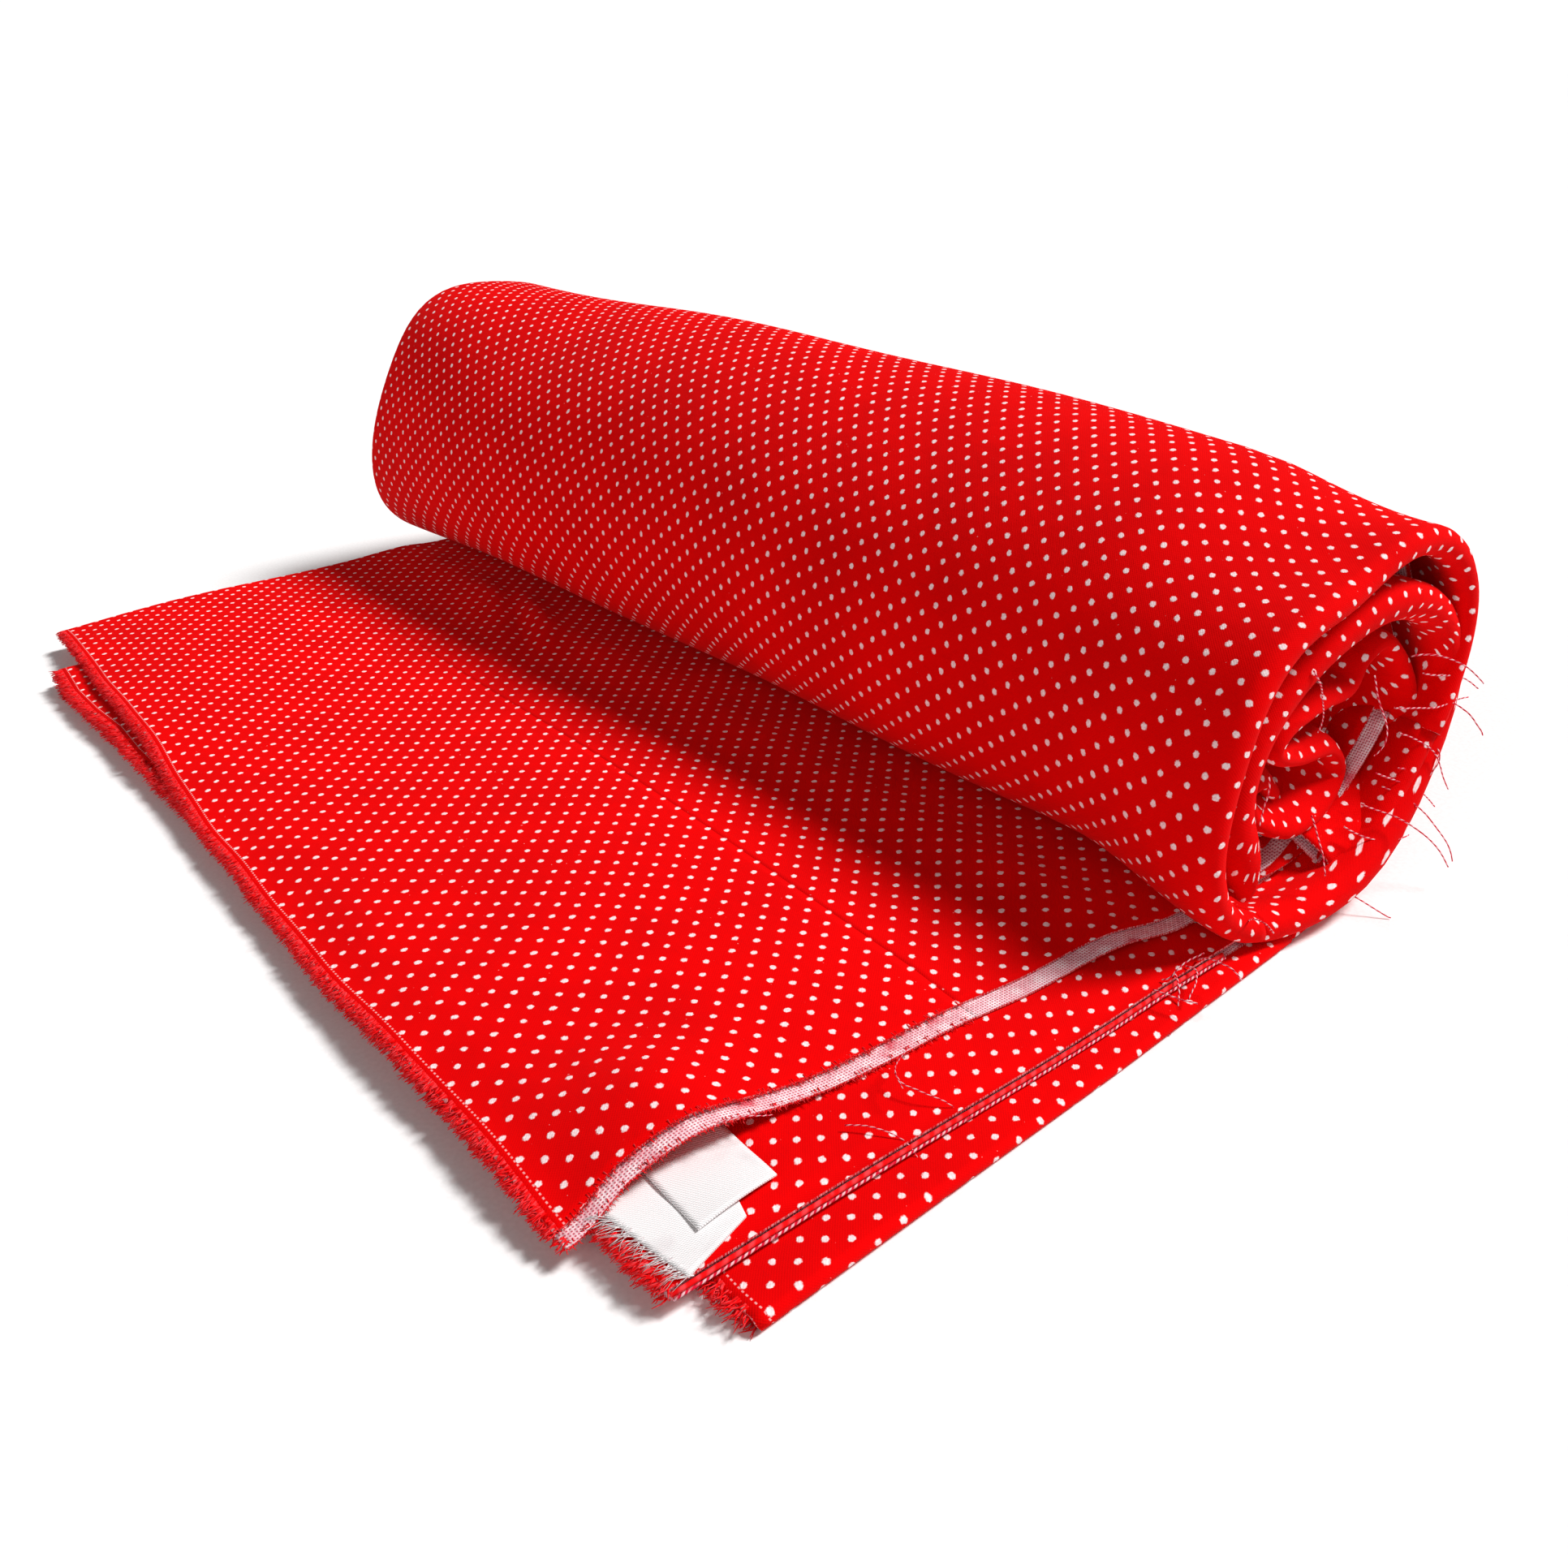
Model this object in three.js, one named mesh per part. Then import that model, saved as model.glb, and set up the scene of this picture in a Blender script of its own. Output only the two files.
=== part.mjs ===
// A short bolt of dotted dress cotton: two lengths of cloth laid one on the other, folded into
// six plies and rolled up loosely on themselves, with the outer end of the stack left lying flat.
// Millimetres, +Z up. +X runs along the roll, the selvage edges of the flat end face -Y.
import * as THREE from "three";
import { mergeVertices } from "three/addons/utils/BufferGeometryUtils.js";

// --- driving dimensions -----------------------------------------------------------------------
const X_FAR = -226; // folded ends of the plies
const X_ROLL = 205; // raw and folded ends of the turns
const PLY = 1.2; // one ply as it lies, with its loft
const AIR = 0.4; // air between two plies
const TURN_AIR = 0.28; // least air between two turns
const TAG_SLOT = 1.5; // extra room between the two lengths, where the tag lies
const JOINT_GAP = 0.8; // gap between a piece that tips and the piece that stays
const TAG_GAP = 0.3; // clearance above and below each flap of the tag
const TOP_SELVAGE = -116; // Y of the top pair's selvage
const LOWER_SELVAGE = [-125.5, -97]; // Y of the lower length's selvage at its far and near ends
const TAIL_SPLIT = -4; // Y of the line about which the loose pages lift
const FOLD = 2; // how far a rounded fold stands out past its plies
const FOLD_INSET = 0.3; // and how far in from their outsides it starts
const FRINGE = 3.5; // how far the selvage fluff stands out
// these three are read at the selvage, at TAIL_SPLIT and at the roll
const LOWER_SET_BACK = [41, 22, 8]; // the lower length's far end, in from X_FAR
const MIDDLE_REACH = [7, 3, 0]; // the middle pair's raw edge, past X_ROLL
const BOTTOM_REACH = [19, 10, 3]; // the bottom pair's fold, past X_ROLL
const TOP_SET_BACK = 20; // the top ply's raw edge, in from X_ROLL
const REVEAL = 4.5; // how far the ply under it shows past that edge
const NEAR_RADIUS = 50.3; // mean radius of the roll at X_ROLL
const SWELL = 0.2; // how much larger the roll is at X_FAR
const AXIS_Y = [82.5, 73.2]; // Y of the roll's axis at X_ROLL and at X_FAR
const LEAN = 8; // the section is longer along its lean by this much at X_ROLL
const LEAN_ANGLE = 45; // degrees from +Y
const HEEL_ANGLE = -60; // where the stack leaves the table and becomes the outer turn
const TURNS_TO_ROUND = 3.4; // turns in from the outside at which the section is a circle
const CORE_END = 1150; // winding angle at which the cloth ends inside the roll
const TAG = { width: 26, lower: 24, upper: 20 };

// --- worked out from them -----------------------------------------------------------------------
const PAIR = 2 * PLY + AIR;
const BOTTOM = 0; // height of each pair above the outside of its turn
const MIDDLE = BOTTOM + PAIR + AIR;
const TOP = MIDDLE + PAIR + AIR + TAG_SLOT;
const ROLL_STACK_TOP = BOTTOM + 2 * (PAIR + AIR); // no tag inside the roll
const ROUNDING = LEAN / TURNS_TO_ROUND; // how much nearer a rounder turn comes to the one outside
// One turn of the whole stack clears the table stack under it and the turn outside it.
const PITCH = Math.max(TOP + PAIR + AIR, ROLL_STACK_TOP + PAIR + ROUNDING + TURN_AIR);
const TAG_PLY = (AIR + TAG_SLOT - 3 * TAG_GAP) / 2;
const RAD = Math.PI / 180;

const { lerp, clamp } = THREE.MathUtils;

// --- the rolled section -------------------------------------------------------------------------
const farShare = (x) => (X_ROLL - x) / (X_ROLL - X_FAR);
const swellAt = (x) => 1 + SWELL * farShare(x);

// Distance from the roll's axis to the tangent line that faces `angle`, and its slope.
function support(angle, x) {
  const turns = (angle + 90) / 360;
  const calm = clamp(1 - turns / TURNS_TO_ROUND, 0, 1); // the inner turns are rounder
  const twice = 2 * (angle - LEAN_ANGLE) * RAD;
  const k = swellAt(x);
  return {
    reach: k * (NEAR_RADIUS + LEAN * calm * Math.cos(twice) - PITCH * turns),
    slope: -2 * k * LEAN * calm * Math.sin(twice),
  };
}

const axisZ = (x) => support(-90, x).reach;
const axisY = (x) => lerp(AXIS_Y[0], AXIS_Y[1], farShare(x));

// Point of the winding at `angle`, `depth` in from the outside of its turn.
function inRoll(angle, depth, x) {
  const { reach, slope } = support(angle, x);
  const c = Math.cos(angle * RAD);
  const s = Math.sin(angle * RAD);
  const r = reach - depth;
  return [axisY(x) + r * c - slope * s, axisZ(x) + r * s + slope * c];
}

// The stack on the table runs from `start` (u = 0) to the roll's lowest line (u = 1), then turns
// up the heel to HEEL_ANGLE (u = 2), where it closes up by `settle`.
function onTable(start, settle = 0) {
  return (u, depth, x) => {
    if (u > 1) return inRoll(lerp(-90, HEEL_ANGLE, u - 1), depth - settle * (u - 1), x);
    return [lerp(start(x), inRoll(-90, 0, x)[0], u), depth];
  };
}

// --- one closed layer of cloth ----------------------------------------------------------------
// A flat slab of cloth is bent along its path: u along the path, x across it, depth through it.
function layer({ name, color, path, u, depth, xFar, xNear, along = 24, across = 2 }) {
  const slab = new THREE.BoxGeometry(1, 1, 1, across, along, 1);
  const position = slab.getAttribute("position");
  for (let i = 0; i < position.count; i += 1) {
    const at = lerp(u[0], u[1], position.getY(i) + 0.5);
    const x = lerp(xFar(at), xNear(at), position.getX(i) + 0.5);
    const [y, z] = path(at, lerp(depth[0], depth[1], position.getZ(i) + 0.5), x);
    position.setXYZ(i, x, y, z);
  }
  slab.deleteAttribute("normal");
  slab.deleteAttribute("uv");
  const geometry = mergeVertices(slab, 1e-4);
  geometry.computeVertexNormals();
  const material = new THREE.MeshStandardMaterial({ color, roughness: 0.85, metalness: 0 });
  const mesh = new THREE.Mesh(geometry, material);
  mesh.name = name;
  return mesh;
}

const RED = 0xe3060f;
const REVERSE = 0xd98a92;
const WHITE = 0xf2f0ee;
const always = (value) => () => value;
const bolt = new THREE.Group();

// --- the flat end: six plies in three pairs ----------------------------------------------------
const topSelvage = always(TOP_SELVAGE);
// Edges of the flat end run from u = 0 at the selvage to u = 1 at the split; under the roll they
// run on from the split to the roll's lowest line.
const onTail = ([first, last], u) => lerp(first, last, u);
const onUnder = ([, first, last], u) => lerp(first, last, clamp(u, 0, 1));
const topNear = always(X_ROLL - TOP_SET_BACK);
const topFar = always(X_FAR);
const middleNear = (u) => X_ROLL + onTail(MIDDLE_REACH, u);
const bottomNear = (u) => X_ROLL + onTail(BOTTOM_REACH, u);
const lowerFar = (u) => X_FAR + onTail(LOWER_SET_BACK, u);
// the lower length lies a little askew
const lowerSelvage = (x) => {
  const share = (x - lowerFar(0)) / (bottomNear(0) - lowerFar(0));
  return lerp(LOWER_SELVAGE[0], LOWER_SELVAGE[1], share);
};

const flat = (start, end) => (u, depth, x) => [lerp(start(x), end, u), depth];

function loosePair(pair, start, depth, near, reveal, far) {
  const path = flat(start, TAIL_SPLIT - JOINT_GAP);
  const ply = (name, at, edge) =>
    layer({
      name,
      color: RED,
      path,
      u: [0, 1],
      depth: [at, at + PLY],
      xFar: far,
      xNear: edge,
      along: 6,
    });
  bolt.add(ply(pair + "_pair_lower_ply", depth, (u) => near(u) + reveal));
  bolt.add(ply(pair + "_pair_upper_ply", depth + PLY + AIR, near));
}

function underRoll(pair, depth, settle, near, far) {
  const path = onTable(always(TAIL_SPLIT), settle);
  bolt.add(
    layer({
      name: "under_roll_" + pair + "_pair",
      color: RED,
      path,
      u: [0, 2],
      depth: [depth, depth + PAIR],
      xFar: far,
      xNear: near,
      along: 18,
    }),
  );
}

// The rounded fold that joins the two plies of the bottom pair at their near edge.
function nearFold(name, path, u, edge) {
  bolt.add(
    layer({
      name,
      color: RED,
      path,
      u,
      depth: [BOTTOM + FOLD_INSET, BOTTOM + PAIR - FOLD_INSET],
      xFar: (at) => edge(at) + 0.3,
      xNear: (at) => edge(at) + FOLD,
      along: 14,
      across: 1,
    }),
  );
}

function selvageFringe(pair, start, depth, far, near) {
  const setIn = 4; // the fluff stops short of the corners
  bolt.add(
    layer({
      name: pair + "_selvage_fringe",
      color: RED,
      path: (u, at, x) => [start(x) - 0.3 - FRINGE * (1 - u), at],
      u: [0, 1],
      depth: [depth + 0.6, depth + PAIR - 0.6],
      xFar: always(far(0) + setIn),
      xNear: always(near(0) - setIn),
      along: 1,
      across: 4,
    }),
  );
}

// --- the white tag that lies between the two lengths --------------------------------------------
function tag() {
  const slot = MIDDLE + PAIR;
  const flap = (name, [x, y], length, turn, level) => {
    const bottom = slot + TAG_GAP + level * (TAG_PLY + TAG_GAP);
    const mesh = layer({
      name,
      color: WHITE,
      path: (u, at) => [lerp(-length / 2, length / 2, u), at],
      u: [0, 1],
      depth: [bottom, bottom + TAG_PLY],
      xFar: always(-TAG.width / 2),
      xNear: always(TAG.width / 2),
      along: 2,
    });
    mesh.rotation.z = turn * RAD;
    mesh.position.set(X_ROLL - x, TOP_SELVAGE + y, 0);
    bolt.add(mesh);
  };
  flap("tag_lower_flap", [9, 23], TAG.lower, -12, 0);
  flap("tag_upper_flap", [16, 30], TAG.upper, 4, 1);
}

// --- the turns of the roll ------------------------------------------------------------------------
const TURNS = [
  { turn: "outer_turn", from: HEEL_ANGLE, to: 270, inset: 0 },
  { turn: "second_turn", from: 270, to: 630, inset: 1.5 },
  { turn: "core", from: 630, to: CORE_END, inset: 4 },
];
const ROLL_PAIRS = [
  { pair: "bottom_pair", depth: BOTTOM, inset: 0, color: RED },
  { pair: "middle_pair", depth: BOTTOM + PAIR + AIR, inset: 4, color: RED },
  { pair: "top_pair", depth: ROLL_STACK_TOP, inset: 6, color: REVERSE },
];

function roll() {
  TURNS.forEach(({ turn, from, to, inset }, order) => {
    const start = from + (order ? 0.6 : 1.2); // degrees left open at the joins
    ROLL_PAIRS.forEach((layerOf) => {
      const isFolded = layerOf.pair === "bottom_pair" && turn !== "core";
      const end = X_ROLL - inset - layerOf.inset;
      const shared = { path: inRoll, u: [start, to], along: Math.round((to - from) / 9) };
      bolt.add(
        layer({
          ...shared,
          name: turn + "_" + layerOf.pair,
          color: layerOf.color,
          depth: [layerOf.depth, layerOf.depth + PAIR],
          xFar: always(X_FAR + inset),
          xNear: always(isFolded ? end - 3 : end),
        }),
      );
      if (!isFolded) return;
      bolt.add(
        layer({
          ...shared,
          name: turn + "_near_fold",
          color: RED,
          depth: [layerOf.depth + FOLD_INSET, layerOf.depth + PAIR - FOLD_INSET],
          xFar: always(end - 2.7),
          xNear: always(end),
          across: 1,
        }),
      );
    });
  });
}

const underNear = (u) => X_ROLL + onUnder(BOTTOM_REACH, u);
const underFar = (u) => X_FAR + onUnder(LOWER_SET_BACK, u);
const underMiddle = (u) => X_ROLL - 1 + onUnder(MIDDLE_REACH, u);
underRoll("bottom", BOTTOM, 0, underNear, underFar);
underRoll("middle", MIDDLE, 0, underMiddle, underFar);
underRoll("top", TOP, TOP - ROLL_STACK_TOP, always(X_ROLL - TOP_SET_BACK + REVEAL / 2), topFar);
nearFold("under_roll_near_fold", onTable(always(TAIL_SPLIT)), [0, 1.9], underNear);
loosePair("bottom", lowerSelvage, BOTTOM, bottomNear, 0, lowerFar);
loosePair("middle", lowerSelvage, MIDDLE, middleNear, 1.5, lowerFar);
loosePair("top", topSelvage, TOP, topNear, REVEAL, topFar);
nearFold("bottom_near_fold", flat(lowerSelvage, TAIL_SPLIT - JOINT_GAP), [0, 1], bottomNear);
selvageFringe("bottom", lowerSelvage, BOTTOM, lowerFar, bottomNear);
selvageFringe("middle", (x) => lowerSelvage(x) - 1.5, MIDDLE, lowerFar, middleNear);
selvageFringe("top", topSelvage, TOP, topFar, topNear);
tag();
roll();

export default bolt;
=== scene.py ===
# A short bolt of dotted dress cotton: two lengths laid together, folded to six plies and rolled up.
# Shapes are worked out in millimetres in the part's own frame and written to the meshes in metres.
import math

import bpy
import numpy as np
from mathutils import Matrix, Vector


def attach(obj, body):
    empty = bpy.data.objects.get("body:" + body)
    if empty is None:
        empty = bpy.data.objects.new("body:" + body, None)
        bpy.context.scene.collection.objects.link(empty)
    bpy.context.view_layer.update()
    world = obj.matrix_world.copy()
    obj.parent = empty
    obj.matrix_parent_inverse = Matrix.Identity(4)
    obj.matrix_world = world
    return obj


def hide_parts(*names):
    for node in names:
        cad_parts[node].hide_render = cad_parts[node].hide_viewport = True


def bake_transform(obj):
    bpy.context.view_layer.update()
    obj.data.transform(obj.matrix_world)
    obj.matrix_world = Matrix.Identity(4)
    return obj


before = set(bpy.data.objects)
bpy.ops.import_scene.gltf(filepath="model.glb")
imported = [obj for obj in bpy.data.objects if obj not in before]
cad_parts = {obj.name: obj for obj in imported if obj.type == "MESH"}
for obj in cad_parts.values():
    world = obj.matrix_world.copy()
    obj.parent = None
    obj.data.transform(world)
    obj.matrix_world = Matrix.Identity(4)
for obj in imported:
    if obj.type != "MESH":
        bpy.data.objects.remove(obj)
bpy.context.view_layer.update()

MM = 0.001

# --- sizes, as in the part's source ---------------------------------------------------------------
X_FAR, X_ROLL = -226.0, 205.0
TOP_SELVAGE = -116.0
LOWER_SELVAGE = (-126.0, -98.0)  # bottom pair, far and near
MIDDLE_SELVAGE = (-127.0, -106.0)  # middle pair, far and near
TAIL_SPLIT, PAGE_BEND = -4.0, -14.0
LOWER_SET_BACK = (41.0, 22.0, 8.0)
MIDDLE_REACH = (7.0, 3.0, 0.0)
BOTTOM_REACH = (21.0, 12.0, 4.5)
TOP_SET_BACK, REVEAL = 20.0, 4.5
NEAR_RADIUS, LEAN, LEAN_ANGLE = 50.3, 8.0, 45.0
BULGE, BULGE_ANGLE, BULGE_WIDTH = 5.0, 50, 44  # the loose roll swells out, high at its back
AXIS_Y = (82.5, 73.2)
PITCH, TURNS_TO_ROUND = 11.83, 3.4
CLOTH = 0.5  # thickness of one ply of cloth
# mid-height of each ply, the lowest first: on the table, and in the turns of the roll
TABLE_PLIES = (0.3, 2.5, 3.5, 5.7, 8.3, 10.4)
ROLL_PLIES = (0.3, 2.5, 3.5, 5.7, 6.8, 8.9)
DOT_PITCH, DOT_ACROSS = (7.5, 7.0), 1.5
HEEL_END = -30.0  # winding angle at which the heel becomes the outer turn
GUIDE_END = 190.0  # past this the folded edges are pulled about, and the dots keep their rows
GUIDE_SAMPLES = 24
UNDER_SET_BACK = 14  # of the top raw edge, where it lies under the roll
# how thick the folded near edge of the lower length stands, from the flat end to the second turn
TAIL_NOSE, STACK_NOSE, HEEL_NOSE, NOSE, SECOND_NOSE = 3.2, 2.7, 5.9, 7.0, 9.0
TUCK_AT, TUCK_WAY = (-152, 45), (88, -35)  # where the tuck in the top page is, and its direction
FOLD_COLUMNS, FOLD_ARC = 7, 75  # points round a fold, and how far round they go either way


# --- small maths ----------------------------------------------------------------------------------
def smooth(a, b, x):
    t = np.clip((x - a) / (b - a), 0, 1)
    return t * t * (3 - 2 * t)


def lerp(a, b, t):
    return a + (b - a) * t


def bump(x, middle, width):
    return np.exp(-(((x - middle) / width) ** 2))


def far_share(x):
    return (X_ROLL - x) / (X_ROLL - X_FAR)


# --- the rolled section ---------------------------------------------------------------------------
def swell(x):
    t = far_share(x)
    return 1 + 0.195 * t + 0.03 * np.sin(np.pi * np.clip(t, 0, 1))


def support(angle, x):
    turns = (angle + 90) / 360
    calm = np.clip(1 - turns / TURNS_TO_ROUND, 0, 1)
    twice = np.radians(2 * (angle - LEAN_ANGLE))
    k = swell(x)
    reach = k * (NEAR_RADIUS + LEAN * calm * np.cos(twice) - PITCH * turns)
    slope = -2 * k * LEAN * calm * np.sin(twice)
    off = (angle - BULGE_ANGLE + 180) % 360 - 180
    out = BULGE * (1 - 0.6 * far_share(x)) * calm / 0.74
    out = out * bump(off, 0, BULGE_WIDTH) * smooth(0, 60, angle)
    return reach + out, slope - 2 * out * np.degrees(off / BULGE_WIDTH**2)


def axis(x):
    return lerp(AXIS_Y[0], AXIS_Y[1], far_share(x)), support(-90.0, x)[0]


def winding(angle, depth, x):
    """y and z of the even winding, `depth` in from the outside of its turn."""
    reach, slope = support(angle, x)
    c, s = np.cos(np.radians(angle)), np.sin(np.radians(angle))
    soft = 0.9 * np.sin(x / 61 + angle / 40) + 0.6 * np.sin(x / 29 - angle / 23 + 1.1)
    corners = 6.5 * bump(angle, 117, 20) + 2.5 * bump(angle, 192, 28)  # the far mouth is squarish
    r = reach - depth + soft * smooth(-80, -20, angle) + corners * smooth(-120, -215, x)
    y, z = axis(x)
    return y + r * c - slope * s, z + r * s + slope * c


def outer_mouth(theta):
    """Outline of the outer turn's folded edge at the near end, about its own centre."""
    a = np.radians(theta)
    r = 48.3 + 2.4 * np.cos(a + 3.07) + 4.8 * np.cos(2 * (a - 0.80)) + 2.6 * np.cos(3 * (a - 0.87))
    r = r + 1.9 * np.cos(4 * (a - 0.70)) + 0.8 * np.cos(5 * (a + 0.19))
    return r - 1.7 * bump(theta % 360, 270, 40) - 2.0 * bump(theta % 360, 215, 25)


def second_mouth(theta):
    a = np.radians(theta)
    return 41.5 + 1.5 * np.cos(a - np.pi) + 2.6 * np.cos(2 * (a - 0.75)) + 1.2 * np.cos(3 * (a - 0.85))


MOUTHS = ((88.0, 42.0), (94.0, 37.0))  # centres of those two outlines
SAG_OUT = 7.0  # how far the folded edges lean out under the roll
LEAN_OUT = (1.0, -1.64, 1.118)  # the way they lean


def turns(angle, depth, x):
    """Point of the roll. The folded edges at the near end leave the even winding: they crowd
    together on the right, and sag over the end of the stack below."""
    y, z = winding(angle, depth, x)
    angle = angle + 0 * x
    near = smooth(150, 203, x) * smooth(-50, 10, angle)
    second = smooth(275, 340, angle)
    cy = lerp(MOUTHS[0][0], MOUTHS[1][0], second)
    cz = lerp(MOUTHS[0][1], MOUTHS[1][1], second)
    theta = np.degrees(np.arctan2(z - cz, y - cy))
    r = lerp(outer_mouth(theta), second_mouth(theta), second) - depth
    y = lerp(y, cy + r * np.cos(np.radians(theta)), near)
    z = lerp(z, cz + r * np.sin(np.radians(theta)), near)
    below = bump((theta + 85 + 180) % 360 - 180, 0, 55) * smooth(120, 200, angle)
    out = SAG_OUT * below * near
    return x + out * LEAN_OUT[0], y + out * LEAN_OUT[1], z + out * LEAN_OUT[2]


# --- the flat end ---------------------------------------------------------------------------------
def reach_at(three, y):
    """A reach given at the selvage, at the split and at the roll."""
    t = np.clip((y + 114) / 110, 0, 1)
    u = np.clip((y - TAIL_SPLIT) / 80, 0, 1)
    return lerp(lerp(three[0], three[1], t), three[2], u)


def lie(x, y, depth, top):
    """Height of a ply on the table: soft swells, the lifted corner over the tag, a small tuck."""
    level = depth / TABLE_PLIES[-1]
    calm = 1 - smooth(5, 35, y)
    z = depth + level * calm * (
        0.9 * np.sin(x / 43 + 0.5 + y / 60) + 0.7 * np.sin(y / 19 + x / 71 + 2)
    )
    edge = bump(y, -118, 16)
    z = z + level * edge * (0.5 * np.sin(x / 17 + 1) + 0.25 * np.sin(x / 8.3))
    z = z + (1 - top) * 2.2 * bump(x, -200, 26) * smooth(-105, -126, y) * (0.5 + level)
    z = z - top * 1.3 * calm * (1 - smooth(140, 168, x) * (1 - smooth(-72, -50, y)))
    z = z + top * level * smooth(140, 186, x) * (6.5 * bump(y, -85, 15) - 3.5 * smooth(-98, -114, y))
    z = z - top * 2.0 * smooth(-100, -116, y) * smooth(-80, 0, x) * (1 - smooth(140, 180, x))
    from_x, from_y = x - TUCK_AT[0], y - TUCK_AT[1]
    along = (from_x * TUCK_WAY[0] + from_y * TUCK_WAY[1]) / math.hypot(*TUCK_WAY)
    off = (from_y * TUCK_WAY[0] - from_x * TUCK_WAY[1]) / math.hypot(*TUCK_WAY)
    tuck = top * smooth(-30, 10, along) * (1 - smooth(70, 98, along))
    z = z + tuck * (2.0 * bump(off, 7, 6.0) - 1.4 * bump(off, 0, 4.5) + 0.8 * bump(off, -9, 7))
    return np.maximum(z, 0.3)


# --- profiles across the cloth --------------------------------------------------------------------
def run(count, dense):
    """Shares from the far end (0) to the near end (1), closer together at the near end."""
    return np.concatenate([np.linspace(0, 0.9, count), np.linspace(0.91, 1, dense)])


RUNS = {"seen": run(30, 16), "hidden": run(16, 7), "fine": run(130, 16)}


def lower_profile(plies, near3, near4, tip, far, nose, inner=7.0):
    """Four runs of the lower length, from its upper raw edge to its lower one: x and depth."""
    d6, d5, d4, d3 = plies[0], plies[1], plies[2], plies[3]
    seen, hid = RUNS["seen"], RUNS["hidden"]
    arc = np.radians(np.linspace(-FOLD_ARC, FOLD_ARC, FOLD_COLUMNS))
    half = nose / 2
    straight = tip - half
    r_far, mid_far = (d3 - d6) / 2, (d3 + d6) / 2
    r_in, mid_in = (d4 - d5) / 2, (d4 + d5) / 2
    x = [
        lerp(far + r_far, near3, hid[::-1]),
        far + r_far - r_far * np.cos(-arc),
        lerp(far + r_far, straight, seen),
        straight + half * np.cos(arc),
        lerp(far + inner + r_in, straight, seen[::-1]),
        far + inner + r_in - r_in * np.cos(arc),
        lerp(far + inner + r_in, near4, hid),
    ]
    rise = d6 + nose - d5
    d = [
        np.full(hid.size, d3),
        mid_far + r_far * np.sin(-arc),
        np.full(seen.size, d6),
        d6 + half + half * np.sin(arc),
        d5 + rise * smooth(straight - 14, straight, x[4]),
        mid_in + r_in * np.sin(arc),
        np.full(hid.size, d4),
    ]
    return np.concatenate(x), np.concatenate(d)


def upper_profile(plies, near1, near2, far, kind="seen"):
    """Two runs of the upper length, from the raw edge of the top ply to that of the ply under it."""
    d2, d1 = plies[4], plies[5]
    seen = RUNS[kind]
    arc = np.radians(np.linspace(FOLD_ARC, -FOLD_ARC, FOLD_COLUMNS))
    r, mid = (d1 - d2) / 2, (d1 + d2) / 2
    x = [lerp(far + r, near1, seen[::-1]), far + r - r * np.cos(arc), lerp(far + r, near2, seen)]
    d = [np.full(seen.size, d1), mid + r * np.sin(arc), np.full(seen.size, d2)]
    d[0] = d[0] - 0.6 * (d1 - d2) * smooth(near1 - 18, near1, x[0])  # the raw edges lie close
    return np.concatenate(x), np.concatenate(d)


def columns_of(*kinds):
    """Number of columns in each run of a profile, with a fold between every two runs."""
    counts = [RUNS[kinds[0]].size]
    for kind in kinds[1:]:
        counts += [FOLD_COLUMNS, RUNS[kind].size]
    return counts


PROFILE_PARTS = {
    "lower": columns_of("hidden", "seen", "seen", "hidden"),
    "upper": columns_of("seen", "seen"),
    "page": columns_of("fine", "fine"),
}
REFERENCE = {"lower": 2, "upper": 0, "page": 0}  # the run whose dots line up along the cloth
BAKE_SHARE = {  # of the bake layer, for each run and fold
    "lower": [0.10, 0.02, 0.52, 0.05, 0.18, 0.01, 0.12],
    "upper": [0.72, 0.03, 0.25],
    "page": [0.72, 0.03, 0.25],
}


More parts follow.
